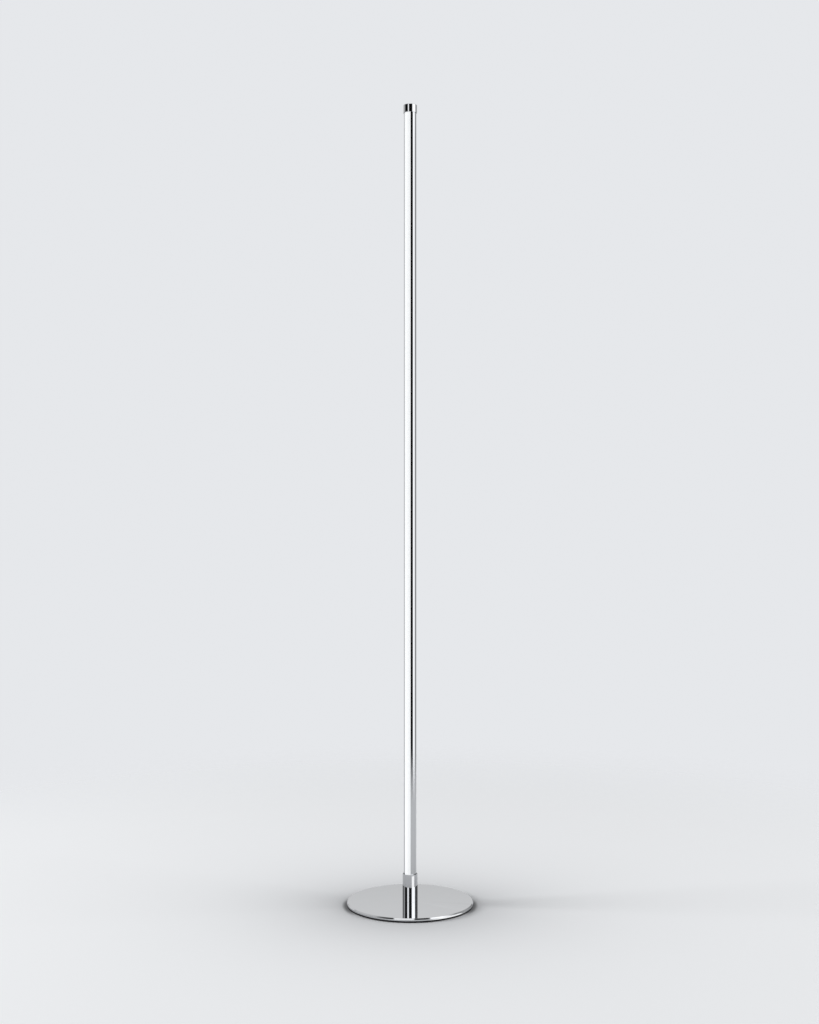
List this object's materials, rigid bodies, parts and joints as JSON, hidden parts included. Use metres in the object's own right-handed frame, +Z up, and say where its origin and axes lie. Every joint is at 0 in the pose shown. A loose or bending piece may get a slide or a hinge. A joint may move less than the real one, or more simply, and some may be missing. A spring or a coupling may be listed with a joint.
{
  "type": "led floor lamp",
  "caption": "Slim floor lamp: a chromed upright light rod with an opal front strip that swivels in a short socket on a thin round mirror-finished base plate.",
  "frame": {"origin": "on the floor, at the rod's axis", "axes": "+Z up along the rod, -Y the way the light faces at rest, +Y the side where the cord enters"},
  "size_m": [0.2372, 0.2372, 1.5],
  "materials": {
    "polished_chrome": "mirror polished chrome plate",
    "chromed_profile": "polished and chromed",
    "opal_diffuser": "opal, lit from behind",
    "black_foam": "matt closed-cell foam",
    "black_rubber": "satin",
    "plated_steel": "zinc plated",
    "spring_steel": "phosphated",
    "turned_aluminium": "turned",
    "white_nylon": "moulded",
    "lead_jacket": "satin",
    "wire_red": "insulated",
    "wire_black": "insulated",
    "strip_white": "solder mask",
    "clear_tape": "adhesive tape",
    "led_phosphor": "phosphor in a white case",
    "resistor_black": "ceramic chip"
  },
  "bodies": {
    "stand": {"floor_pad": "black_foam", "base_plate": "polished_chrome", "base_screw": "plated_steel", "locating_pin": "plated_steel", "socket": "polished_chrome", "cord_gland": "black_rubber", "terminal_block": "white_nylon", "terminal_screw": "plated_steel", "terminal_wire_red": "wire_red", "terminal_wire_black": "wire_black", "swivel_bush": "white_nylon"},
    "light_rod": {"rod_foot": "turned_aluminium", "foot_screws": "plated_steel", "stop_washer": "plated_steel", "retaining_ring": "spring_steel", "lead_jacket": "lead_jacket", "strip_wire_red": "wire_red", "strip_wire_black": "wire_black", "light_profile": "chromed_profile", "diffuser": "opal_diffuser", "strip_tape": "clear_tape", "led_strip": "strip_white", "led_chips": "led_phosphor", "strip_resistors": "resistor_black", "top_cap": "polished_chrome"}
  },
  "joints": [
    {"name": "rod_swivel", "type": "hinge", "parent": "stand", "child": "light_rod", "pos_m": [0, 0, 0.047], "axis": [0, 0, 1], "range_deg": [-157, 157]}
  ]
}
